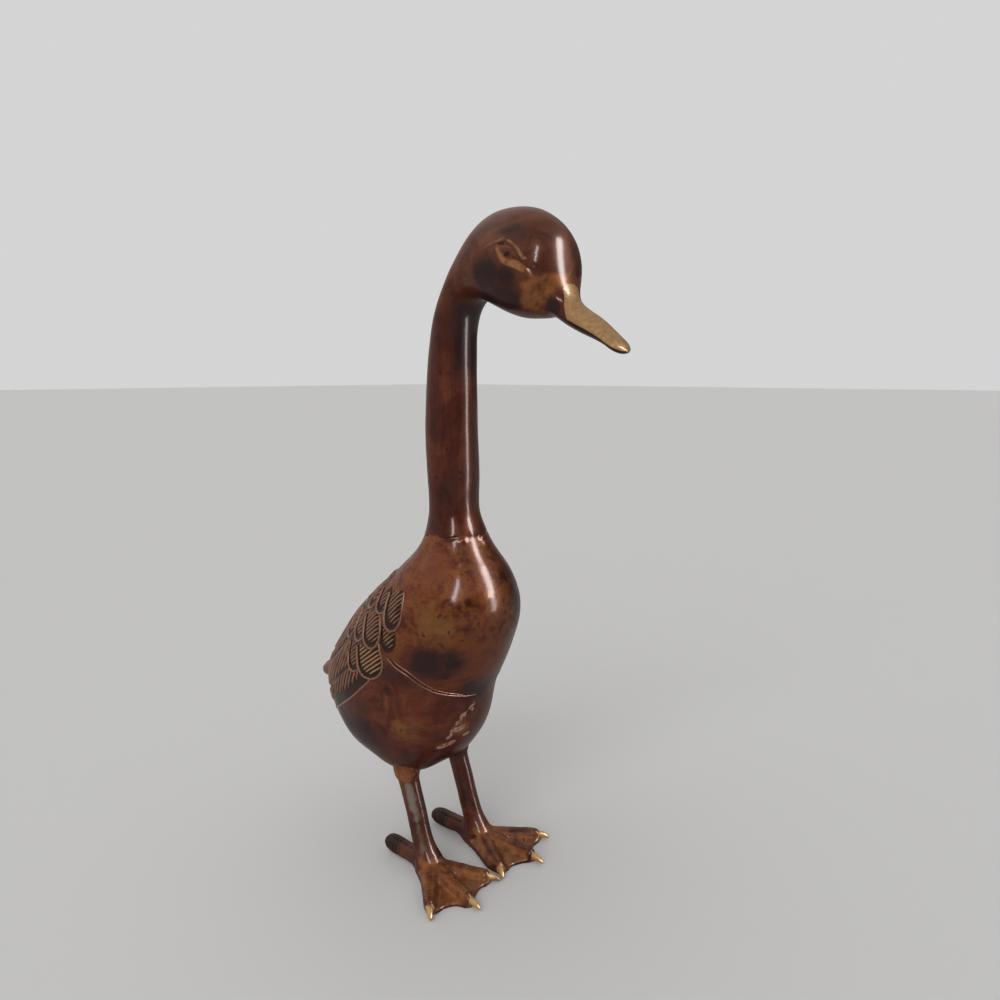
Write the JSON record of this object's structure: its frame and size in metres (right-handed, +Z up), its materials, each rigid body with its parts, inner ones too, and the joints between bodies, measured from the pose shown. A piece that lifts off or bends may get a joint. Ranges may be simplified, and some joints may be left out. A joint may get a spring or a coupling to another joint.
{
  "type": "duck figurine",
  "caption": "Standing duck figurine in cast brass, with a long upright neck, engraved wings and two webbed feet it stands on.",
  "frame": {"origin": "on the ground, under the middle of the overall length from tail to bill", "axes": "+Z up, +X forwards towards the bill, +Y to the bird's left"},
  "size_m": [0.225, 0.1, 0.3598],
  "materials": {
    "patinated_brass": "glossy mottled brown patina, worn to golden metal on the bill, the claws and the engraved lines"
  },
  "bodies": {
    "root": {"duck_figurine": "patinated_brass"}
  },
  "joints": []
}
